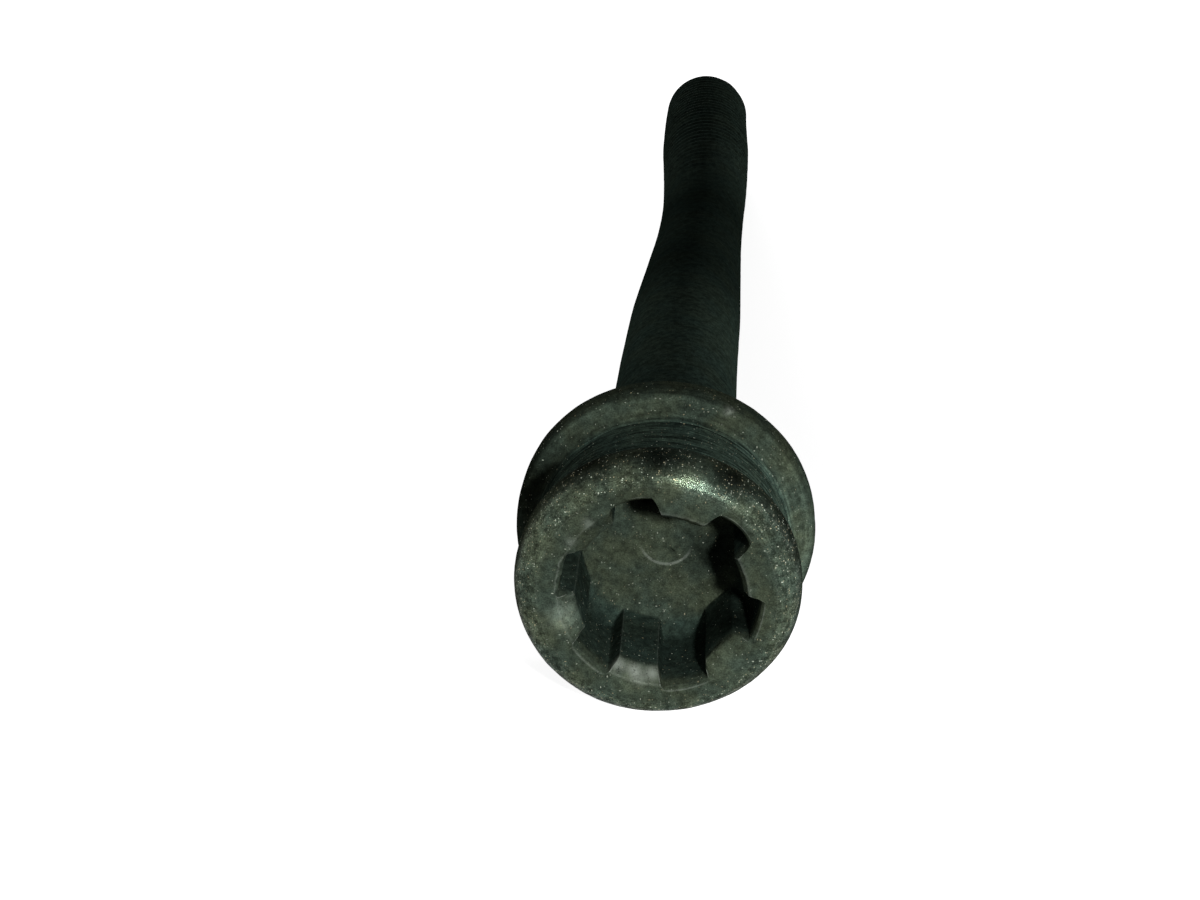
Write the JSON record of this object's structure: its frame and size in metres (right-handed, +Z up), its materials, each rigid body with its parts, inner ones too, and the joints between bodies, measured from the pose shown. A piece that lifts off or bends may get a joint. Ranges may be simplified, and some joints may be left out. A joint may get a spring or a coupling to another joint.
{
  "type": "cylinder head bolt",
  "caption": "Long waisted engine bolt with a round collared head, a splined drive socket in its face and a metric thread end, lying on its side.",
  "frame": {"origin": "on the surface that the bolt lies on, under the middle of its box", "axes": "+Y from the head to the thread end, +Z up, +X to the right of someone who looks at the head's face; the axis falls 2.3 degrees towards the thread end, because the bolt rests on its collar and on the thread's end"},
  "size_m": [0.024, 0.1646, 0.024],
  "materials": {
    "black_steel": "black phosphate and old oil, worn to bare steel on the edges"
  },
  "bodies": {
    "root": {"head_bolt": "black_steel"}
  },
  "joints": []
}
